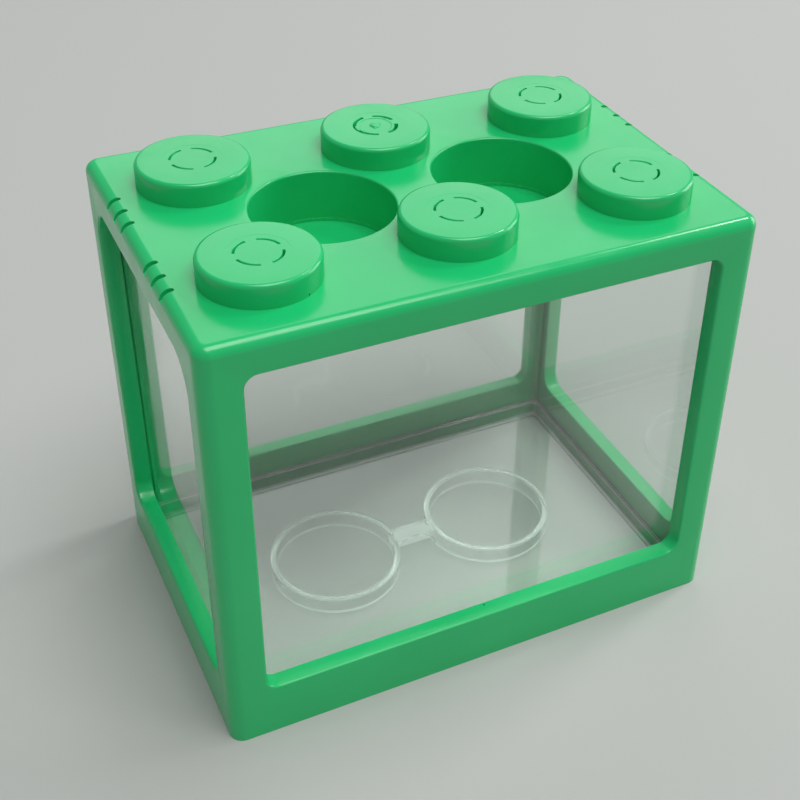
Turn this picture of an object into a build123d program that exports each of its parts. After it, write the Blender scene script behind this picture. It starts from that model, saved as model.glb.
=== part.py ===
"""Stackable fish tank: a studded green frame that lowers over a clear, open-topped tank.

Lengths are in millimetres. The origin is the middle of the rest plane, X runs along the long
front face, Y into the depth and Z up.
"""
import os
from math import cos, radians, sin, tan

from build123d import *

# Outer body of the frame
body_length = 122.0
body_width = 82.0
body_height = 103.8
post_corner_radius = 3.2
top_edge_radius = 2.4

# Walls of the frame
wall = 4.0
top_plate = 2.0
cavity_corner_radius = 0.8

# Windows on the four sides
rail_height = 13.3
band_height = 8.0
front_post_width = 8.6
end_post_width = 8.0
front_corner_radius = 3.0
end_top_corner_radius = 7.5
end_bottom_corner_radius = 4.0
window_lip = 0.5

# Studs, three along X and two along Y
stud_radius = 12.2
stud_height = 5.2
stud_pitch = 41.8
studs_along = 3
studs_across = 2
stud_skin = 1.9
stud_edge_radius = 0.9
stud_edge_steps = 2

# Air slots in the head of each stud
slot_outer_radius = 5.0
slot_width = 0.8
slots_per_stud = 4
slot_arc_degrees = 62.0

# Moulding gate on the head of the back middle stud
gate_radius = 1.5
gate_depth = 0.5

# Blind round wells between the studs
well_radius = 15.3
well_depth = 12.2
well_skin = 1.5
well_lip = 0.5
well_foot = 0.8

# Air grooves over the top edge at both ends
groove_width = 1.3
groove_depth = 2.2
groove_reach = 3.0
groove_pitch = 5.4
groove_first_offset = 8.4
grooves_per_group = 3

# Clear tank
tank_clearance = 0.4
tank_wall = 1.4
tank_floor = 1.5
tank_floor_height = 5.6
tank_corner_radius = 1.6
tank_draft_degrees = 0.2
tank_rim_gap = 1.0
tank_rim_edge = 0.3
tank_foot_edge = 0.8

# Rings under the floor of the tank
ring_radius = 15.0
ring_wall = 1.3
ring_lift = 1.0
ring_edge = 0.3
link_width = 4.0
link_depth = 2.6

# Sizes that follow from the ones above
cavity_length = body_length - 2 * wall
cavity_width = body_width - 2 * wall
plate_underside = body_height - top_plate
window_height = body_height - rail_height - band_height
window_middle = rail_height + window_height / 2
well_places = [(stud_pitch * (i - (studs_along - 2) / 2), 0) for i in range(studs_along - 1)]
stud_places = [
    (stud_pitch * (i - (studs_along - 1) / 2), stud_pitch * (j - (studs_across - 1) / 2))
    for i in range(studs_along)
    for j in range(studs_across)
]
tank_height = plate_underside - tank_rim_gap
tank_length = cavity_length - 2 * tank_clearance
tank_width = cavity_width - 2 * tank_clearance


def window_outline(plane, width, bottom_radius, top_radius):
    """Upright window of one side, with its own radius at the foot and at the head."""
    outline = plane * Pos(0, window_middle) * Rectangle(width, window_height)
    corners = outline.vertices().sort_by(Axis.Z)
    outline = fillet(corners[:2], bottom_radius)
    corners = outline.vertices().sort_by(Axis.Z)[-2:]
    return fillet(corners, top_radius)


def frame_shell():
    """Hollow body, open at the foot, with a window through each of its four sides."""
    body = extrude(RectangleRounded(body_length, body_width, post_corner_radius), body_height)
    body = fillet(body.faces().sort_by(Axis.Z)[-1].edges(), top_edge_radius)
    body -= extrude(RectangleRounded(cavity_length, cavity_width, cavity_corner_radius), plate_underside)
    front_width = body_length - 2 * front_post_width
    end_width = body_width - 2 * end_post_width
    front = window_outline(Plane.XZ, front_width, front_corner_radius, front_corner_radius)
    end = window_outline(Plane.YZ, end_width, end_bottom_corner_radius, end_top_corner_radius)
    body -= extrude(front, body_width, both=True)
    body -= extrude(end, body_length, both=True)
    return chamfer(window_lips(body), window_lip)


def window_lips(body):
    """Outer edges of the windows: those that lie in an outer side and inside its margins."""
    lips = ShapeList()
    margin = window_lip
    for edge in body.edges():
        box = edge.bounding_box()
        inside = box.min.Z > rail_height - margin and box.max.Z < body_height - band_height + margin
        on_side = abs(abs(edge.center().Y) - body_width / 2) < margin / 2 and box.size.Y < margin / 2
        on_end = abs(abs(edge.center().X) - body_length / 2) < margin / 2 and box.size.X < margin / 2
        in_side = max(abs(box.min.X), abs(box.max.X)) < body_length / 2 - front_post_width + margin
        in_end = max(abs(box.min.Y), abs(box.max.Y)) < body_width / 2 - end_post_width + margin
        if inside and ((on_side and in_side) or (on_end and in_end)):
            lips.append(edge)
    return lips


def turned(lines):
    """Solid of revolution about Z from the closed profile that the lines draw."""
    return revolve(Plane.XZ * make_face(Wire(lines).edges()), Axis.Z)


def stud():
    """One round stud rooted in the top plate, with its edge rounded in equal steps of a quarter turn."""
    edge = stud_radius - stud_edge_radius
    shoulder = stud_height - stud_edge_radius
    turns = [radians(90) * k / stud_edge_steps for k in range(stud_edge_steps + 1)]
    rounding = [(edge + stud_edge_radius * sin(t), shoulder + stud_edge_radius * cos(t)) for t in turns]
    root = -top_plate / 2
    outline = [(0, root), (0, stud_height), *rounding, (stud_radius, root), (0, root)]
    return turned(Polyline(*outline).edges())


def stud_core():
    """Hollow under a stud, from inside the frame up to the skin of its head."""
    return Pos(0, 0, -top_plate) * extrude(Circle(stud_radius - stud_skin), top_plate + stud_height - stud_skin)


def stud_slots():
    """Ring of narrow arc slots through the head of a stud, one about each axis of the grid."""
    section = Rectangle(slot_width, 2 * stud_height, align=(Align.MAX, Align.CENTER))
    slot = revolve(Plane.XZ * Pos(slot_outer_radius, stud_height) * section, Axis.Z, slot_arc_degrees)
    start = -slot_arc_degrees / 2
    return Compound([Rot(0, 0, start + k * 360 / slots_per_stud) * slot for k in range(slots_per_stud)])


def well_cup():
    """Outside of a blind well, hanging from the top plate."""
    return extrude(Circle(well_radius + well_skin), -(well_depth + well_skin))


def well_hollow():
    """Inside of a blind well as a turned profile: a sloped foot, a straight wall and a flared lip."""
    outline = [
        (0, top_plate),
        (well_radius + well_lip, top_plate),
        (well_radius + well_lip, 0),
        (well_radius, -well_lip),
        (well_radius, well_foot - well_depth),
        (well_radius - well_foot, -well_depth),
        (0, -well_depth),
        (0, top_plate),
    ]
    return turned(Polyline(*outline).edges())


def end_grooves():
    """Short air grooves that run out over the top edge at both ends, in two groups each."""
    reach = 2 * groove_reach
    tool = extrude(SlotOverall(reach, groove_width), groove_depth)
    grooves = []
    for end in (-1, 1):
        for group in (-1, 1):
            for k in range(grooves_per_group):
                y = group * (groove_first_offset + k * groove_pitch)
                grooves.append(Pos(end * body_length / 2, y, body_height - groove_depth) * tool)
    return Compound(grooves)


def make_frame():
    """Green frame: one moulding with its studs, wells, posts and rails."""
    frame = frame_shell()
    at_plate = Pos(0, 0, body_height)
    for x, y in well_places:
        frame += at_plate * Pos(x, y) * well_cup()
    for x, y in well_places:
        frame -= at_plate * Pos(x, y) * well_hollow()
    for x, y in stud_places:
        frame += at_plate * Pos(x, y) * stud()
        frame -= at_plate * Pos(x, y) * stud_core()
        frame -= at_plate * Pos(x, y) * stud_slots()
    gate_place = (0, stud_pitch * (studs_across - 1) / 2, stud_height - gate_depth)
    frame -= at_plate * Pos(*gate_place) * extrude(Circle(gate_radius), stud_height)
    return frame - end_grooves()


def drafted_box(*levels):
    """Upright box with rounded corners that widens with the draft of the tank's walls.

    Each level is a height and how far the sides stand inside the tank's outer face there.
    """
    outlines = []
    for z, inset in levels:
        lean = (tank_height - z) * tan(radians(tank_draft_degrees))
        length = tank_length - 2 * (inset + lean)
        width = tank_width - 2 * (inset + lean)
        outlines.append(Pos(0, 0, z) * RectangleRounded(length, width, tank_corner_radius))
    return loft(outlines, ruled=True)


def tank_outside():
    """Outer form of the tank, closed, with its rim eased."""
    return drafted_box((0, 0), (tank_height - tank_rim_edge, 0), (tank_height, tank_rim_edge))


def tank_inside():
    """Room inside the tank, from its sloped floor corner up to the eased inner edge of the rim."""
    floor_top = tank_floor_height + tank_floor
    return drafted_box(
        (floor_top, tank_wall + tank_foot_edge),
        (floor_top + tank_foot_edge, tank_wall),
        (tank_height - tank_rim_edge, tank_wall),
        (tank_height, tank_wall - tank_rim_edge),
    )


def ring():
    """One ring under the floor, with a rounded free edge."""
    height = tank_floor_height - ring_lift
    band = extrude(Circle(ring_radius) - Circle(ring_radius - ring_wall), height)
    return Pos(0, 0, ring_lift) * chamfer(band.faces().sort_by(Axis.Z)[0].edges(), ring_edge)


def ring_link():
    """Small rib under the floor that ties neighbouring rings together."""
    length = stud_pitch - 2 * ring_radius + ring_wall
    return Pos(0, 0, tank_floor_height - link_depth) * extrude(Rectangle(length, link_width), link_depth)


def make_tank():
    """Clear tank: thin drafted walls, a floor raised over a hollow foot, and rings under the floor."""
    tank = tank_outside() - tank_inside() - drafted_box((0, tank_wall), (tank_floor_height, tank_wall))
    for x, y in well_places:
        tank += Pos(x, y) * ring()
    for left, right in zip(well_places, well_places[1:]):
        tank += Pos((left[0] + right[0]) / 2, left[1]) * ring_link()
    return tank


if __name__ == "__main__":
    os.makedirs("parts", exist_ok=True)
    export_step(make_frame(), "parts/frame.step")
    export_step(make_tank(), "parts/clear_tank.step")
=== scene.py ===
"""Stackable fish tank: a glossy green studded frame over a clear tank, on a pale studio floor.

Everything is in metres in the part's own frame: X along the long front face, Y into the depth, Z up,
with the origin in the middle of the rest plane.
"""
import logging
import math
from dataclasses import dataclass, field
from enum import Enum

import bmesh
import bpy
import numpy as np
from mathutils import Matrix, Vector


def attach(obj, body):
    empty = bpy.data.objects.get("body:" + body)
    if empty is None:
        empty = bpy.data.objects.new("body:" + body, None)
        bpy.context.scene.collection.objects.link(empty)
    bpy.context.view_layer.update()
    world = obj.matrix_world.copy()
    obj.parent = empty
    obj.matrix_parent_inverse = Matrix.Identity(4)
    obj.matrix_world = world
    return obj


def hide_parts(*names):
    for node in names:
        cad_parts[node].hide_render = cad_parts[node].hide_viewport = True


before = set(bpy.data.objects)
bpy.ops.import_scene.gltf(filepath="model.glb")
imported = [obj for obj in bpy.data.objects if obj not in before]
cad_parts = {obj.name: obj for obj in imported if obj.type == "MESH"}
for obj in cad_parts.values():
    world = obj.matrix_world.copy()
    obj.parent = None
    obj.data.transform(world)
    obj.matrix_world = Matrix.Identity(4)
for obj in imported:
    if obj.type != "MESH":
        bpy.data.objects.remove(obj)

LOG = logging.getLogger("fish_tank")
MM = 0.001


class Body(Enum):
    """Bodies of the part that a piece can ride on."""

    TANK = "tank"
    FRAME = "frame"


class Slot(Enum):
    """Material slots of the part's record."""

    GREEN = "green"
    CLEAR = "clear"


class Change(Enum):
    """What a closed mesh does to a moulding."""

    ADD = "UNION"
    CUT = "DIFFERENCE"


def linear(code: str) -> tuple[float, float, float, float]:
    """Turns an sRGB hex colour to linear values.

    Args:
        code: Six hex digits after a hash sign.

    Returns:
        Linear red, green and blue, and an alpha of one.
    """
    channels = [int(code[i : i + 2], 16) / 255 for i in (1, 3, 5)]
    low, high = [c / 12.92 for c in channels], [((c + 0.055) / 1.055) ** 2.4 for c in channels]
    red, green, blue = (h if c > 0.04045 else k for c, k, h in zip(channels, low, high))
    return red, green, blue, 1.0


def add_node(
    material: bpy.types.Material,
    kind: str,
    settings: dict[str | int, object] | None = None,
    links: dict[str | int, bpy.types.NodeSocket] | None = None,
) -> bpy.types.Node:
    """Adds one node with its settings and incoming links.

    Args:
        material: Material whose tree gets the node.
        kind: Blender's name of the node type.
        settings: Values by name, for the node's own properties and its input sockets, or by the
            number of an input whose name another input has too.
        links: Sockets of other nodes by the name or number of the input that they feed.

    Returns:
        The new node.
    """
    tree = material.node_tree
    node = tree.nodes.new(kind)
    for key, value in (settings or {}).items():
        if isinstance(key, int) or key in node.inputs:
            node.inputs[key].default_value = value
        else:
            setattr(node, key, value)
    for key, socket in (links or {}).items():
        tree.links.new(socket, node.inputs[key])
    return node


def new_material(name: str) -> tuple[bpy.types.Material, bpy.types.Node, bpy.types.Node]:
    """Makes an empty node material with a shader and object coordinates.

    Args:
        name: Name of the material.

    Returns:
        The material, its principled shader and its texture coordinate node.
    """
    material = bpy.data.materials.new(name)
    material.use_nodes = True
    material.node_tree.nodes.clear()
    output = add_node(material, "ShaderNodeOutputMaterial")
    shader = add_node(material, "ShaderNodeBsdfPrincipled")
    material.node_tree.links.new(shader.outputs["BSDF"], output.inputs["Surface"])
    return material, shader, add_node(material, "ShaderNodeTexCoord")


@dataclass(frozen=True)
class MouldedGreenPlastic:
    """Glossy ABS, injection moulded in a polished tool.

    The eye reads an even, slightly milky green with soft broad reflections, a faint waviness where
    thick and thin walls shrank differently, fine haze and dust that dull the gloss in patches, and
    a few dark specks of burnt plastic, less than half a millimetre across.
    """

    colour: str = "#17B968"
    thin_colour: str = "#21C576"
    speck_colour: str = "#0B3A22"
    roughness: float = 0.19
    ior: float = 1.53
    milkiness: float = 0.08
    waviness_mm: float = 26.0
    haze_mm: float = 7.0
    dust_mm: float = 0.5
    speck_spacing_mm: float = 15.0
    speck_radius_mm: float = 0.24
    haze_range: tuple[float, float] = (0.3, 0.75)
    gloss_spread: tuple[float, float] = (-0.04, 0.08)
    sink_strength: float = 0.25
    sink_depth_mm: float = 0.12
    skin_strength: float = 0.05
    skin_depth_mm: float = 0.02
    scatter_mm: float = 1.5
    scatter_by_colour: tuple[float, float, float] = (0.4, 1.0, 0.5)

    def make(self) -> bpy.types.Material:
        """Builds the node material.

        Returns:
            The finished material.
        """
        material, shader, coords = new_material("moulded_green_abs")
        place = {"Vector": coords.outputs["Object"]}
        wave, haze, dust = (
            add_node(material, "ShaderNodeTexNoise", {"Scale": 1 / (size * MM), "Detail": detail}, place)
            for size, detail in ((self.waviness_mm, 2.0), (self.haze_mm, 5.0), (self.dust_mm, 1.0))
        )
        spot = add_node(material, "ShaderNodeTexVoronoi", {"Scale": 1 / (self.speck_spacing_mm * MM)}, place)
        tint = add_node(
            material,
            "ShaderNodeMix",
            {"data_type": "RGBA", 6: linear(self.colour), 7: linear(self.thin_colour)},
            {"Factor": wave.outputs["Fac"]},
        )
        speck = add_node(
            material,
            "ShaderNodeMath",
            {"operation": "LESS_THAN", 1: self.speck_radius_mm / self.speck_spacing_mm},
            {0: spot.outputs["Distance"]},
        )
        specked = add_node(
            material,
            "ShaderNodeMix",
            {"data_type": "RGBA", 7: linear(self.speck_colour)},
            {"Factor": speck.outputs["Value"], 6: tint.outputs[2]},
        )
        gloss = add_node(
            material,
            "ShaderNodeMapRange",
            {
                "From Min": self.haze_range[0],
                "From Max": self.haze_range[1],
                "To Min": self.roughness + self.gloss_spread[0],
                "To Max": self.roughness + self.gloss_spread[1],
            },
            {"Value": haze.outputs["Fac"]},
        )
        sink = add_node(
            material,
            "ShaderNodeBump",
            {"Strength": self.sink_strength, "Distance": self.sink_depth_mm * MM},
            {"Height": wave.outputs["Fac"]},
        )
        skin = add_node(
            material,
            "ShaderNodeBump",
            {"Strength": self.skin_strength, "Distance": self.skin_depth_mm * MM},
            {"Height": dust.outputs["Fac"], "Normal": sink.outputs["Normal"]},
        )
        links = material.node_tree.links
        links.new(specked.outputs[2], shader.inputs["Base Color"])
        links.new(gloss.outputs["Result"], shader.inputs["Roughness"])
        links.new(skin.outputs["Normal"], shader.inputs["Normal"])
        shader.inputs["IOR"].default_value = self.ior
        shader.inputs["Subsurface Weight"].default_value = self.milkiness
        shader.inputs["Subsurface Radius"].default_value = self.scatter_by_colour
        shader.inputs["Subsurface Scale"].default_value = self.scatter_mm * MM
        return material


@dataclass(frozen=True)
class ClearPolystyrene:
    """General-purpose polystyrene, injection moulded clear.

    The eye reads water-clear walls with a faint grey cast, fine handling haze, and a frosted patch under
    the middle of the floor, where the sprue was broken off. White lines are painted along the rings' free
    edges and where the rings and the foot meet the floor: painted highlights for the bright edges that
    light gives the clear plastic there. Each painted white line is given as the middle of its height and
    half of it.
    """

    colour: str = "#F6FAF8"
    shade_colour: str = "#F4F8F5"
    roughness: float = 0.02
    frosted_roughness: float = 0.4
    ior: float = 1.59
    haze_mm: float = 12.0
    haze_range: tuple[float, float] = (0.4, 0.8)
    haze_roughness: float = 0.05
    frosted_reach_mm: float = 5.5
    frosted_edge_mm: float = 1.0
    # whiteness of the frosted patch and of the painted highlight bands
    frost_and_highlight_whiteness: float = 0.75
    # heights of the painted highlights: white bands standing in for the bright edges that light gives the
    # rings and the floor's underside
    painted_highlight_bands_mm: tuple[tuple[float, float], ...] = ((1.2, 0.25), (5.38, 0.18))

    def make(self) -> bpy.types.Material:
        """Builds the node material.

        The plastic lets the lamps' light through in a straight line, with a slight loss, so that
        what stands inside or under it is lit as it is in a room.

        Returns:
            The finished material.
        """
        material, shader, coords = new_material("clear_moulded_polystyrene")
        place = coords.outputs["Object"]
        haze = add_node(
            material,
            "ShaderNodeTexNoise",
            {"Scale": 1 / (self.haze_mm * MM), "Detail": 4.0},
            {"Vector": place},
        )
        rough = add_node(
            material,
            "ShaderNodeMapRange",
            {
                "From Min": self.haze_range[0],
                "From Max": self.haze_range[1],
                "To Min": self.roughness,
                "To Max": self.roughness + self.haze_roughness,
            },
            {"Value": haze.outputs["Fac"]},
        )
        reach = add_node(material, "ShaderNodeVectorMath", {"operation": "LENGTH"}, {0: place})
        frosted = add_node(
            material,
            "ShaderNodeMapRange",
            {
                "From Min": self.frosted_reach_mm * MM,
                "From Max": (self.frosted_reach_mm + self.frosted_edge_mm) * MM,
                "To Min": 1.0,
                "To Max": 0.0,
            },
            {"Value": reach.outputs["Value"]},
        )
        height = add_node(material, "ShaderNodeSeparateXYZ", links={"Vector": place})
        edge = frosted.outputs["Result"]
        # painted highlights: each band lowers the transmission and whitens the plastic at its height,
        # standing in for bright edges lit by the room
        for middle, half in self.painted_highlight_bands_mm:
            band = add_node(
                material,
                "ShaderNodeMath",
                {"operation": "COMPARE", 1: middle * MM, 2: half * MM},
                {0: height.outputs["Z"]},
            )
            edge = add_node(
                material, "ShaderNodeMath", {"operation": "MAXIMUM"}, {0: edge, 1: band.outputs["Value"]}
            ).outputs["Value"]
        finish = add_node(
            material,
            "ShaderNodeMapRange",
            {"To Max": self.frosted_roughness},
            {"Value": edge, "To Min": rough.outputs["Result"]},
        )
        # the frosted patch is whitened as real frosting; the bands are painted highlights
        clearness = add_node(
            material, "ShaderNodeMapRange", {"To Min": 1.0, "To Max": 1 - self.frost_and_highlight_whiteness}, {"Value": edge}
        )
        path = add_node(material, "ShaderNodeLightPath")
        through = add_node(material, "ShaderNodeBsdfTransparent", {"Color": linear(self.shade_colour)})
        mix = add_node(
            material,
            "ShaderNodeMixShader",
            links={0: path.outputs["Is Shadow Ray"], 1: shader.outputs["BSDF"], 2: through.outputs["BSDF"]},
        )
        links = material.node_tree.links
        links.new(mix.outputs["Shader"], material.node_tree.get_output_node("ALL").inputs["Surface"])
        links.new(finish.outputs["Result"], shader.inputs["Roughness"])
        links.new(clearness.outputs["Result"], shader.inputs["Transmission Weight"])
        shader.inputs["Base Color"].default_value = linear(self.colour)
        shader.inputs["IOR"].default_value = self.ior
        return material


@dataclass(frozen=True)
class MattPaperFloor:
    """Plain matt seamless paper, pale and even, with a barely visible tooth."""

    colour: str = "#B4B6B2"
    roughness: float = 0.9
    tooth_mm: float = 1.2
    tooth_strength: float = 0.1
    tooth_depth_mm: float = 0.05

    def make(self) -> bpy.types.Material:
        """Builds the node material.

        Returns:
            The finished material.
        """
        material, shader, coords = new_material("matt_paper_floor")
        tooth = add_node(
            material,
            "ShaderNodeTexNoise",
            {"Scale": 1 / (self.tooth_mm * MM), "Detail": 3.0},
            {"Vector": coords.outputs["Object"]},
        )
        bump = add_node(
            material,
            "ShaderNodeBump",
            {"Strength": self.tooth_strength, "Distance": self.tooth_depth_mm * MM},
            {"Height": tooth.outputs["Fac"]},
        )
        material.node_tree.links.new(bump.outputs["Normal"], shader.inputs["Normal"])
        shader.inputs["Base Color"].default_value = linear(self.colour)
        shader.inputs["Roughness"].default_value = self.roughness
        return material


def grid_mesh(
    name: str, points: np.ndarray, wrap_u: bool = False, wrap_v: bool = False, capped: bool = False
) -> bpy.types.Mesh:
    """Turns a grid of points into a mesh of quads.

    Faces run from row to row and column to column, and close on themselves where a direction wraps.

    Args:
        name: Name of the mesh.
        points: Array of shape rows, columns, 3.
        wrap_u: Whether the last row joins the first.
        wrap_v: Whether the last column joins the first.
        capped: Whether the first and the last row are each filled with a flat face.

    Returns:
        The mesh, with smooth faces that point outwards where it is closed.
    """
    rows, columns = points.shape[:2]
    index = np.arange(rows * columns).reshape(rows, columns)
    caps = [index[0].tolist(), index[-1, ::-1].tolist()] if capped else []
    if wrap_u:
        index = np.vstack([index, index[:1]])
    if wrap_v:
        index = np.hstack([index, index[:, :1]])
    corners = [index[:-1, :-1], index[1:, :-1], index[1:, 1:], index[:-1, 1:]]
    quads = np.stack(corners, axis=-1).reshape(-1, 4)
    mesh = bpy.data.meshes.new(name)
    mesh.from_pydata(points.reshape(-1, 3).tolist(), [], quads.tolist() + caps)
    work = bmesh.new()
    work.from_mesh(mesh)
    bmesh.ops.recalc_face_normals(work, faces=work.faces)
    work.to_mesh(mesh)
    work.free()
    mesh.shade_smooth()
    return mesh


def arc(centre: tuple[float, float], radius: float, turn: np.ndarray) -> np.ndarray:
    """Points of a circle: the centre plus the radius times the cosine and sine of each angle."""
    return np.array(centre) + radius * np.stack([np.cos(turn), np.sin(turn)], axis=-1)


def quarter_arc(centre: tuple[float, float], radius: float, start_degrees: float, steps: int) -> np.ndarray:
    """Points of an arc in equal steps through a right angle."""
    return arc(centre, radius, np.radians(start_degrees + np.linspace(0, 90, steps + 1)))


def rounded_loop(length: float, width: float, radius: float, steps: int = 6) -> np.ndarray:
    """Outline of a rectangle with round corners, once around from the right side, anticlockwise.

    Each corner is a quarter circle about a point one radius inside both of its sides.

    Args:
        length: Size along X.
        width: Size along Y.
        radius: Radius of the corners.
        steps: Steps of each corner.

    Returns:
        Array of shape points, 2.
    """
    signs = np.array([(1, 1), (-1, 1), (-1, -1), (1, -1)])
    centres = signs * (np.array([length, width]) / 2 - radius)
    angles = np.radians(np.arange(4)[:, None] * 90 + np.linspace(0, 90, steps + 1)[None, :])
    arcs = np.stack([np.cos(angles), np.sin(angles)], axis=-1) * radius
    return (centres[:, None, :] + arcs).reshape(-1, 2)


def circle(
    centre: tuple[float, float], radius: float, steps: int = 96, start: float = 0.011
) -> np.ndarray:
    """Round outline, an arc through the whole turn.

    It starts a little off the X axis, so that no point falls on an edge of the part's own mesh.

    Args:
        centre: Middle of the circle.
        radius: Its radius.
        steps: Steps round it.
        start: Angle of the first point in radians.

    Returns:
        Array of shape points, 2.
    """
    return arc(centre, radius, start + np.linspace(0, 2 * np.pi, steps, endpoint=False))


def stacked_mesh(name: str, levels: list[tuple[float, np.ndarray]]) -> bpy.types.Mesh:
    """Joins flat outlines that stand one above the other, and closes the first and the last.

    Args:
        name: Name of the mesh.
        levels: Height and outline of each level in millimetres, all with as many points.

    Returns:
        The closed mesh, in metres.
    """
    points = np.stack([np.column_stack([outline, np.full(len(outline), z)]) for z, outline in levels])
    return grid_mesh(name, points * MM, wrap_v=True, capped=True)


def turned_mesh(
    name: str,
    profile: np.ndarray,
    centre: tuple[float, float],
    steps: int,
    span_degrees: tuple[float, float] | None = None,
) -> bpy.types.Mesh:
    """Turns a closed profile about an upright axis: a ring of any section, or a part of one.

    A point of the profile at radius r and height z goes to r times the cosine and sine of the turn,
    moved by the centre, at height z.

    Args:
        name: Name of the mesh.
        profile: Array of radius and height in millimetres, in order round the section.
        centre: Where the axis stands, in millimetres.
        steps: Steps of the turn.
        span_degrees: First and last angle, or None for the whole turn.

    Returns:
        The closed mesh, in metres.
    """
    whole = span_degrees is None
    if whole:
        turn = np.linspace(0, 2 * np.pi, steps, endpoint=False)[:, None]
    else:
        turn = np.radians(np.linspace(*span_degrees, steps))[:, None]
    radius, height = profile[:, 0][None, :], profile[:, 1][None, :]
    x, y = centre[0] + radius * np.cos(turn), centre[1] + radius * np.sin(turn)
    points = np.stack([x, y, height + 0 * turn], axis=-1)
    return grid_mesh(name, points * MM, wrap_u=whole, wrap_v=True, capped=not whole)


def joined_mesh(name: str, meshes: list[bpy.types.Mesh]) -> bpy.types.Mesh:
    """Puts several meshes that stay apart into one.

    Args:
        name: Name of the new mesh.
        meshes: The meshes, which are removed.

    Returns:
        The mesh of all of them.
    """
    work = bmesh.new()
    for mesh in meshes:
        work.from_mesh(mesh)
        bpy.data.meshes.remove(mesh)
    joined = bpy.data.meshes.new(name)
    work.to_mesh(joined)
    work.free()
    return joined


def reworked(
    name: str, body: bpy.types.Mesh, changes: list[tuple[Change, bpy.types.Mesh]]
) -> bpy.types.Mesh:
    """Adds closed meshes to a moulding or cuts them out of it, so that no wall stays in its plastic.

    Args:
        name: Name of the new mesh.
        body: The closed mesh that the others change.
        changes: What to do, and the closed mesh to do it with, in order.

    Returns:
        The changed mesh, closed.
    """
    things = [bpy.data.objects.new(mesh.name, mesh) for mesh in [body, *(mesh for _, mesh in changes)]]
    for thing in things:
        bpy.context.scene.collection.objects.link(thing)
    for tool, (change, _) in zip(things[1:], changes):
        step = things[0].modifiers.new(tool.name, "BOOLEAN")
        step.operation = change.value
        step.solver = "EXACT"
        step.object = tool
    worked = things[0].evaluated_get(bpy.context.evaluated_depsgraph_get())
    result = bpy.data.meshes.new_from_object(worked)
    result.name = name
    for thing in things:
        bpy.data.objects.remove(thing)
    return result


def set_creases(
    mesh: bpy.types.Mesh, degrees: float, hollow_degrees: float, join_distance: float = 0.0
) -> None:
    """Shades a mesh smooth up to a crease angle, and joins its loose triangles first if asked.

    Args:
        mesh: The mesh, which is changed.
        degrees: Raised edges that turn by more than this stay sharp.
        hollow_degrees: The same for edges that lie in a hollow corner.
        join_distance: Points nearer than this, in metres, become one.
    """
    work = bmesh.new()
    work.from_mesh(mesh)
    if join_distance:
        bmesh.ops.remove_doubles(work, verts=work.verts, dist=join_distance)
    for edge in work.edges:
        turn = edge.calc_face_angle(0.0) if len(edge.link_faces) == 2 else math.pi
        edge.smooth = turn < math.radians(degrees if edge.is_convex else hollow_degrees)
    for face in work.faces:
        face.smooth = True
    work.to_mesh(mesh)
    work.free()
    if "custom_normal" in mesh.attributes:
        mesh.attributes.remove(mesh.attributes["custom_normal"])


def keep_flats_flat(piece: bpy.types.Object) -> None:
    """Lets large faces rule the shading, so that only the narrow eased edges between them look round.

    Args:
        piece: The piece, already shaded smooth with its sharp edges marked.
    """
    step = piece.modifiers.new("flat_faces_lead", "WEIGHTED_NORMAL")
    step.mode = "FACE_AREA"
    step.keep_sharp = True


def show(name: str, mesh: bpy.types.Mesh, material: bpy.types.Material) -> bpy.types.Object:
    """Puts a mesh into the scene with one material.

    Args:
        name: Name of the object.
        mesh: Its mesh, already in place.
        material: Its finish.

    Returns:
        The new object, at the origin.
    """
    thing = bpy.data.objects.new(name, mesh)
    bpy.context.scene.collection.objects.link(thing)
    mesh.materials.clear()
    mesh.materials.append(material)
    LOG.info("piece %s: %d faces", name, len(mesh.polygons))
    return thing


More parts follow.
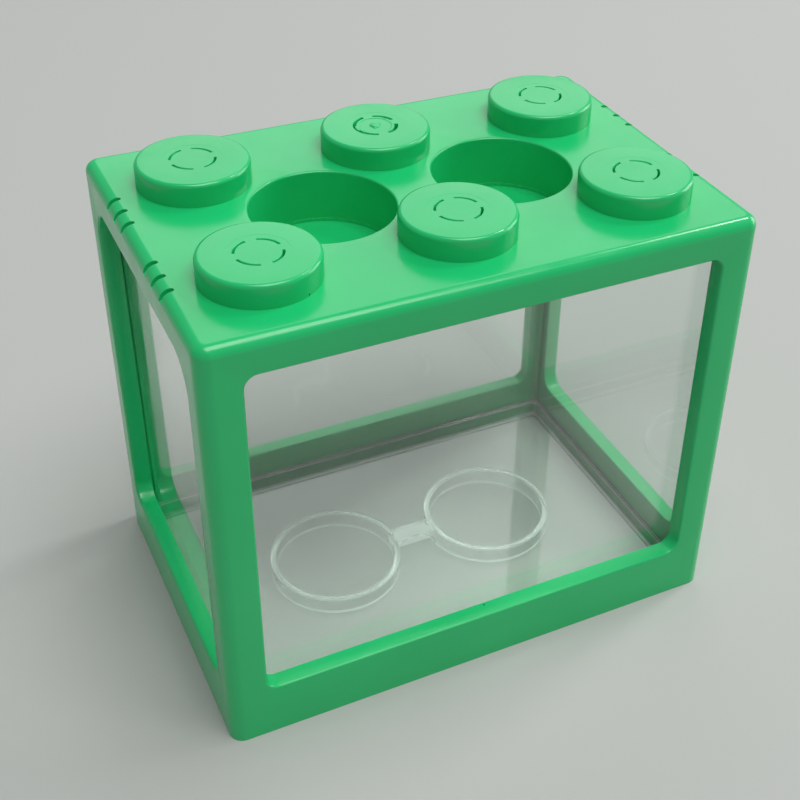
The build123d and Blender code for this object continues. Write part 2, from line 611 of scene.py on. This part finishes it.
@dataclass
class GreenFrame:
    """The studded green frame, one glossy moulding, with its sizes in millimetres.

    Its main form is the part's own. The corner at the floor of each well is made sharp. The middle
    of each stud's head is moulded afresh: four narrow air slots on the diagonals with eased lips,
    and on the back middle stud the mark of the gate.
    """

    stud_pitch: float = 41.8
    studs: tuple[int, int] = (3, 2)
    stud_top: float = 109.0
    head_underside: float = 107.1
    head_radius: float = 6.5
    head_overlap: float = 0.05
    head_step: float = 0.015
    opening_reach: float = 1.0
    slots_per_stud: int = 4
    slot_radius: float = 5.0
    slot_width: float = 0.5
    slot_flare: float = 0.12
    slot_reach: float = 0.5
    slot_steps: int = 24
    slot_degrees: float = 62.0
    slot_first_degrees: float = 45.0
    gate_stud: tuple[int, int] = (1, 1)
    gate_slot_width: float = 0.75
    gate_bridge_degrees: float = 180.0
    well_radius: float = 15.24
    well_floor: float = 91.59
    well_corner_height: float = 3.0
    dish_radius: float = 3.9
    dish_depth: float = 0.18
    nub_radius: float = 1.25
    nub_height: float = 0.3
    nub_profile: tuple[tuple[float, float], ...] = (
        (-0.3, 1.05),
        (0.0, 1.0),
        (0.5, 0.92),
        (0.85, 0.7),
        (1.0, 0.35),
    )
    nub_waver: tuple[float, float] = (0.12, 0.07)
    nub_steps: int = 48
    crease_degrees: float = 50.0
    hollow_degrees: float = 20.0
    join_distance: float = 0.002
    plastic: MouldedGreenPlastic = field(default_factory=MouldedGreenPlastic)

    def stud_axes(self) -> dict[tuple[int, int], tuple[float, float]]:
        """Finds where each stud stands: its column and row less the middle ones, times the pitch.

        Returns:
            The axes by column and row.
        """
        columns, rows = self.studs
        return {
            (i, j): (self.stud_pitch * (i - (columns - 1) / 2), self.stud_pitch * (j - (rows - 1) / 2))
            for i in range(columns)
            for j in range(rows)
        }

    def well_corner(self, side: int) -> bpy.types.Mesh:
        """Makes the round cutter that sharpens the corner between the floor and the wall of a well.

        Args:
            side: -1 for the left well and 1 for the right one.

        Returns:
            The closed mesh.
        """
        outline = circle((side * self.stud_pitch / 2, 0.0), self.well_radius)
        top = self.well_floor + self.well_corner_height
        return stacked_mesh("well_corner", [(self.well_floor, outline), (top, outline)])

    def opening(self, axis: tuple[float, float]) -> bpy.types.Mesh:
        """Makes the round cutter that opens the middle of a head.

        Args:
            axis: Axis of the stud.

        Returns:
            The closed mesh.
        """
        outline = circle(axis, self.head_radius - self.head_overlap)
        low, high = self.head_underside - self.opening_reach, self.stud_top + self.opening_reach
        return stacked_mesh("opening", [(low, outline), (high, outline)])

    def head(self, axis: tuple[float, float]) -> bpy.types.Mesh:
        """Makes the round plate that closes it again, a hair under the top as a core pin leaves it.

        Args:
            axis: Axis of the stud.

        Returns:
            The closed mesh.
        """
        outline = circle(axis, self.head_radius)
        low, high = self.head_underside + self.head_step, self.stud_top - self.head_step
        return stacked_mesh("head", [(low, outline), (high, outline)])

    def slot(self, axis: tuple[float, float], middle: float, width: float) -> bpy.types.Mesh:
        """Makes the cutter of one air slot: an upright strip that flares at the top, turned part way.

        Args:
            axis: Axis of the stud.
            middle: Angle of the slot's middle in degrees.
            width: Width of the slot.

        Returns:
            The closed mesh.
        """
        outer, inner = self.slot_radius, self.slot_radius - width
        lip, rise = self.stud_top - self.slot_flare, self.slot_reach + self.slot_flare
        low, high = self.head_underside - self.slot_reach, self.stud_top + self.slot_reach
        outer_side = [(outer, low), (outer, lip), (outer + rise, high)]
        inner_side = [(inner - rise, high), (inner, lip)]
        profile = np.array([(inner, low), *outer_side, *inner_side])
        span = (middle - self.slot_degrees / 2, middle + self.slot_degrees / 2)
        return turned_mesh("slot", profile, axis, self.slot_steps, span)

    def gate_nub(self, axis: tuple[float, float]) -> bpy.types.Mesh:
        """Makes the broken-off gate: a low mound whose radius wavers by sines of the turn.

        Args:
            axis: Axis of the stud.

        Returns:
            The closed mesh, rooted in the dish.
        """
        slow, fast = self.nub_waver
        turn = np.linspace(0, 2 * np.pi, self.nub_steps, endpoint=False)
        waver = 1 + slow * np.sin(3 * turn + 1) + fast * np.sin(5 * turn)
        base = self.stud_top - self.dish_depth
        outline = np.stack([np.cos(turn) * waver, np.sin(turn) * waver], axis=-1)
        levels = [
            (base + self.nub_height * up, np.array(axis) + self.nub_radius * out * outline)
            for up, out in self.nub_profile
        ]
        return stacked_mesh("gate_nub", levels)

    def dish(self, axis: tuple[float, float]) -> bpy.types.Mesh:
        """Makes the cutter of the shallow dish round the gate, whose side widens by twice its rise.

        Args:
            axis: Axis of the stud.

        Returns:
            The closed mesh.
        """
        floor, top = self.stud_top - self.dish_depth, self.stud_top + self.dish_depth
        slope = 2 * self.dish_depth
        narrow, wide = circle(axis, self.dish_radius - slope), circle(axis, self.dish_radius + slope)
        return stacked_mesh("dish", [(floor, narrow), (top, wide)])

    def build(self) -> bpy.types.Object:
        """Makes the frame's moulding from its joined surface, the sharp well corners and the new heads.

        The gate's stud has wider slots, and one more that joins two of them. That one overlaps its
        neighbours, so it is cut on its own.

        Returns:
            The moulding.
        """
        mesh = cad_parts["frame"].data.copy()
        set_creases(mesh, self.crease_degrees, self.hollow_degrees, self.join_distance * MM)
        axes = self.stud_axes()
        gate = axes[self.gate_stud]
        widths = {axis: self.gate_slot_width if axis == gate else self.slot_width for axis in axes.values()}
        slots = [
            self.slot(axis, self.slot_first_degrees + turn, width)
            for axis, width in widths.items()
            for turn in range(0, 360, 360 // self.slots_per_stud)
        ]
        bridge = self.slot(gate, self.gate_bridge_degrees, self.gate_slot_width / 2)
        changes = [
            (Change.CUT, joined_mesh("well_corners", [self.well_corner(side) for side in (-1, 1)])),
            (Change.CUT, joined_mesh("openings", [self.opening(axis) for axis in axes.values()])),
            (Change.ADD, joined_mesh("heads", [self.head(axis) for axis in axes.values()])),
            (Change.CUT, self.dish(gate)),
            (Change.ADD, self.gate_nub(gate)),
            (Change.CUT, joined_mesh("slots", slots)),
            (Change.CUT, bridge),
        ]
        mesh = reworked("green_moulding", mesh, changes)
        set_creases(mesh, self.crease_degrees, self.hollow_degrees)
        moulding = show("green_moulding", mesh, self.plastic.make())
        keep_flats_flat(moulding)
        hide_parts("frame")
        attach(moulding, Body.FRAME.value)
        return moulding


@dataclass
class ClearTank:
    """The clear open-topped tank: thin drafted walls, a raised floor, and two rings and a link under it.

    Its sizes are in millimetres.
    """

    length: float = 113.2
    width: float = 73.2
    height: float = 100.8
    wall: float = 1.4
    floor_underside: float = 5.6
    floor_top: float = 7.1
    corner_radius: float = 1.6
    draft_degrees: float = 0.2
    rim_round: float = 0.4
    foot_round: float = 0.3
    floor_round: float = 0.8
    ring_pitch: float = 41.8
    ring_radius: float = 16.0
    ring_wall: float = 1.3
    ring_foot: float = 1.0
    ring_round: float = 0.4
    root_depth: float = 0.4
    link_size: tuple[float, float] = (11.0, 4.4)
    link_foot: float = 3.2
    turning_steps: int = 128
    rounding_steps: int = 4
    crease_degrees: float = 40.0
    plastic: ClearPolystyrene = field(default_factory=ClearPolystyrene)

    def walls(self) -> bpy.types.Mesh:
        """Makes the box: one loop carried along the section of floor, wall, rim, outer face and foot.

        A point of the section is a height and an inset from the outer face. The loop is a rectangle
        with round corners. At height z it is smaller than the tank's mouth by twice the section's
        inset and twice the draft, the tangent of its angle times the depth below the mouth. The
        floor's two sides are the flat caps of the first and the last loop.

        Returns:
            The closed mesh.
        """
        inner, steps = self.wall, self.rounding_steps
        floor, rim, foot = self.floor_round, self.rim_round, self.foot_round
        rim_middle = self.height - rim
        section = np.vstack(
            [
                quarter_arc((self.floor_top + floor, inner + floor), floor, 180, steps),
                quarter_arc((rim_middle, inner - rim), rim, 0, steps)[::-1],
                quarter_arc((rim_middle, rim), rim, -90, steps)[::-1],
                quarter_arc((foot, foot), foot, 180, steps)[::-1],
                quarter_arc((foot, inner - foot), foot, 90, steps)[::-1],
                [(self.floor_underside, inner)],
            ]
        )
        heights, insets = section[:, 0], section[:, 1]
        lean = (self.height - heights) * math.tan(math.radians(self.draft_degrees))
        levels = [
            (z, rounded_loop(self.length - 2 * gap, self.width - 2 * gap, self.corner_radius))
            for z, gap in zip(heights, insets + lean)
        ]
        return stacked_mesh("walls", levels)

    def ring(self, x: float) -> bpy.types.Mesh:
        """Makes one ring under the floor: an upright strip with a round free edge, turned about its axis.

        Args:
            x: Where its axis stands along X.

        Returns:
            The closed mesh, which reaches into the floor.
        """
        outer, inner, edge = self.ring_radius, self.ring_radius - self.ring_wall, self.ring_round
        low, high = self.ring_foot + edge, self.floor_underside + self.root_depth
        near = quarter_arc((inner + edge, low), edge, 180, self.rounding_steps)
        far = quarter_arc((outer - edge, low), edge, 270, self.rounding_steps)
        profile = np.vstack([near, far, [(outer, high), (inner, high)]])
        return turned_mesh("ring", profile, (x, 0.0), self.turning_steps)

    def link(self) -> bpy.types.Mesh:
        """Makes the short rib between the rings: a loop with round corners, raised straight up.

        Returns:
            The closed mesh, which reaches into the floor and both rings.
        """
        outline = rounded_loop(*self.link_size, radius=self.link_size[1] / 4)
        top = self.floor_underside + self.root_depth
        return stacked_mesh("link", [(self.link_foot, outline), (top, outline)])

    def build(self) -> bpy.types.Object:
        """Welds box, rings and link into the clear moulding.

        Returns:
            The moulding.
        """
        under = [self.ring(side * self.ring_pitch / 2) for side in (-1, 1)] + [self.link()]
        mesh = reworked("clear_moulding", self.walls(), [(Change.ADD, piece) for piece in under])
        set_creases(mesh, self.crease_degrees, self.crease_degrees)
        moulding = show("clear_moulding", mesh, self.plastic.make())
        keep_flats_flat(moulding)
        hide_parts("clear_tank")
        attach(moulding, Body.TANK.value)
        return moulding


@dataclass(frozen=True)
class SoftLight:
    """One square soft light: its name, its place and side in metres, and its power in watts."""

    name: str
    place: tuple[float, float, float]
    size: float
    power: float


@dataclass
class Studio:
    """Pale floor, soft light and the camera at the photograph's place.

    The lights are a soft ceiling light in front, windows to the right and behind, and a small lamp
    for glints. Lengths without mm in their name are in metres, or in pixels for the picture, and
    angles are in radians.
    """

    azimuth: float = -0.477
    elevation: float = 0.612
    roll: float = -0.034
    distance_mm: float = 327.5
    target_mm: tuple[float, float, float] = (15.888, 7.557, 50.0)
    focal_pixels: float = 1340.6
    image_centre: tuple[float, float] = (458.76, 357.38)
    image_size: float = 800.0
    sensor_mm: float = 36.0
    clip_range: tuple[float, float] = (0.01, 20.0)
    floor_size: float = 16.0
    floor_cells: int = 8
    floor_drop_mm: float = 0.05
    floor: MattPaperFloor = field(default_factory=MattPaperFloor)
    air_colour: tuple[float, float, float, float] = (0.95, 0.98, 1.0, 1.0)
    air_strength: float = 0.28
    lit_point: tuple[float, float, float] = (0.0, 0.0, 0.05)
    lights: tuple[SoftLight, ...] = (
        SoftLight("ceiling_light", (0.3, -1.0, 3.6), 2.4, 94.0),
        SoftLight("side_window", (2.3, 0.0, 0.75), 1.4, 22.0),
        SoftLight("back_window", (0.9, 1.9, 1.5), 1.6, 9.0),
        SoftLight("desk_lamp", (0.63, 0.12, 0.9), 0.15, 1.6),
    )

    def build_floor(self) -> None:
        """Lays a flat square floor, a grid of equal cells, under the rest plane."""
        side = np.linspace(-self.floor_size / 2, self.floor_size / 2, self.floor_cells + 1)
        x, y = np.meshgrid(side, side, indexing="ij")
        points = np.stack([x, y, np.full_like(x, -self.floor_drop_mm * MM)], axis=-1)
        show("floor", grid_mesh("floor", points), self.floor.make())

    def build_lights(self) -> None:
        """Fills the room with faint even light and hangs the soft lights."""
        world = bpy.data.worlds.new("studio_air")
        bpy.context.scene.world = world
        world.use_nodes = True
        air = world.node_tree.nodes["Background"]
        air.inputs["Color"].default_value = self.air_colour
        air.inputs["Strength"].default_value = self.air_strength
        for light in self.lights:
            self.hang(light)

    def hang(self, light: SoftLight) -> None:
        """Adds a soft light that points at the middle of the tank.

        Args:
            light: The light.
        """
        data = bpy.data.lights.new(light.name, "AREA")
        data.size = light.size
        data.energy = light.power
        lamp = bpy.data.objects.new(light.name, data)
        bpy.context.scene.collection.objects.link(lamp)
        lamp.location = light.place
        lamp.visible_camera = False
        lamp.rotation_mode = "QUATERNION"
        lamp.rotation_quaternion = (Vector(self.lit_point) - Vector(light.place)).to_track_quat("-Z", "Y")

    def build_camera(self) -> None:
        """Sets the camera from its azimuth, elevation, roll and distance round a target.

        The picture's centre lies off the lens axis, which the camera's shift repeats.
        """
        ce, se = math.cos(self.elevation), math.sin(self.elevation)
        ca, sa = math.cos(self.azimuth), math.sin(self.azimuth)
        back = Vector((sa * ce, -ca * ce, se))
        right = (-back).cross(Vector((0, 0, 1))).normalized()
        down = (-back).cross(right)
        turned_right = math.cos(self.roll) * right + math.sin(self.roll) * down
        turned_down = -math.sin(self.roll) * right + math.cos(self.roll) * down
        data = bpy.data.cameras.new("camera")
        data.sensor_width = self.sensor_mm
        data.lens = self.focal_pixels * self.sensor_mm / self.image_size
        data.shift_x = (self.image_size / 2 - self.image_centre[0]) / self.image_size
        data.shift_y = (self.image_centre[1] - self.image_size / 2) / self.image_size
        data.clip_start, data.clip_end = self.clip_range
        camera = bpy.data.objects.new("camera", data)
        bpy.context.scene.collection.objects.link(camera)
        turn = Matrix((turned_right, -turned_down, back)).transposed()
        place = (Vector(self.target_mm) + back * self.distance_mm) * MM
        camera.matrix_world = Matrix.Translation(place) @ turn.to_4x4()
        bpy.context.scene.camera = camera


def main() -> None:
    """Builds the studio and the two mouldings."""
    logging.basicConfig(level=logging.INFO, format="%(name)s: %(message)s")
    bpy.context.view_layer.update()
    studio = Studio()
    studio.build_camera()
    studio.build_floor()
    studio.build_lights()
    ClearTank().build()
    GreenFrame().build()
    bpy.context.scene.view_settings.view_transform = "Standard"


if __name__ == "__main__":
    main()
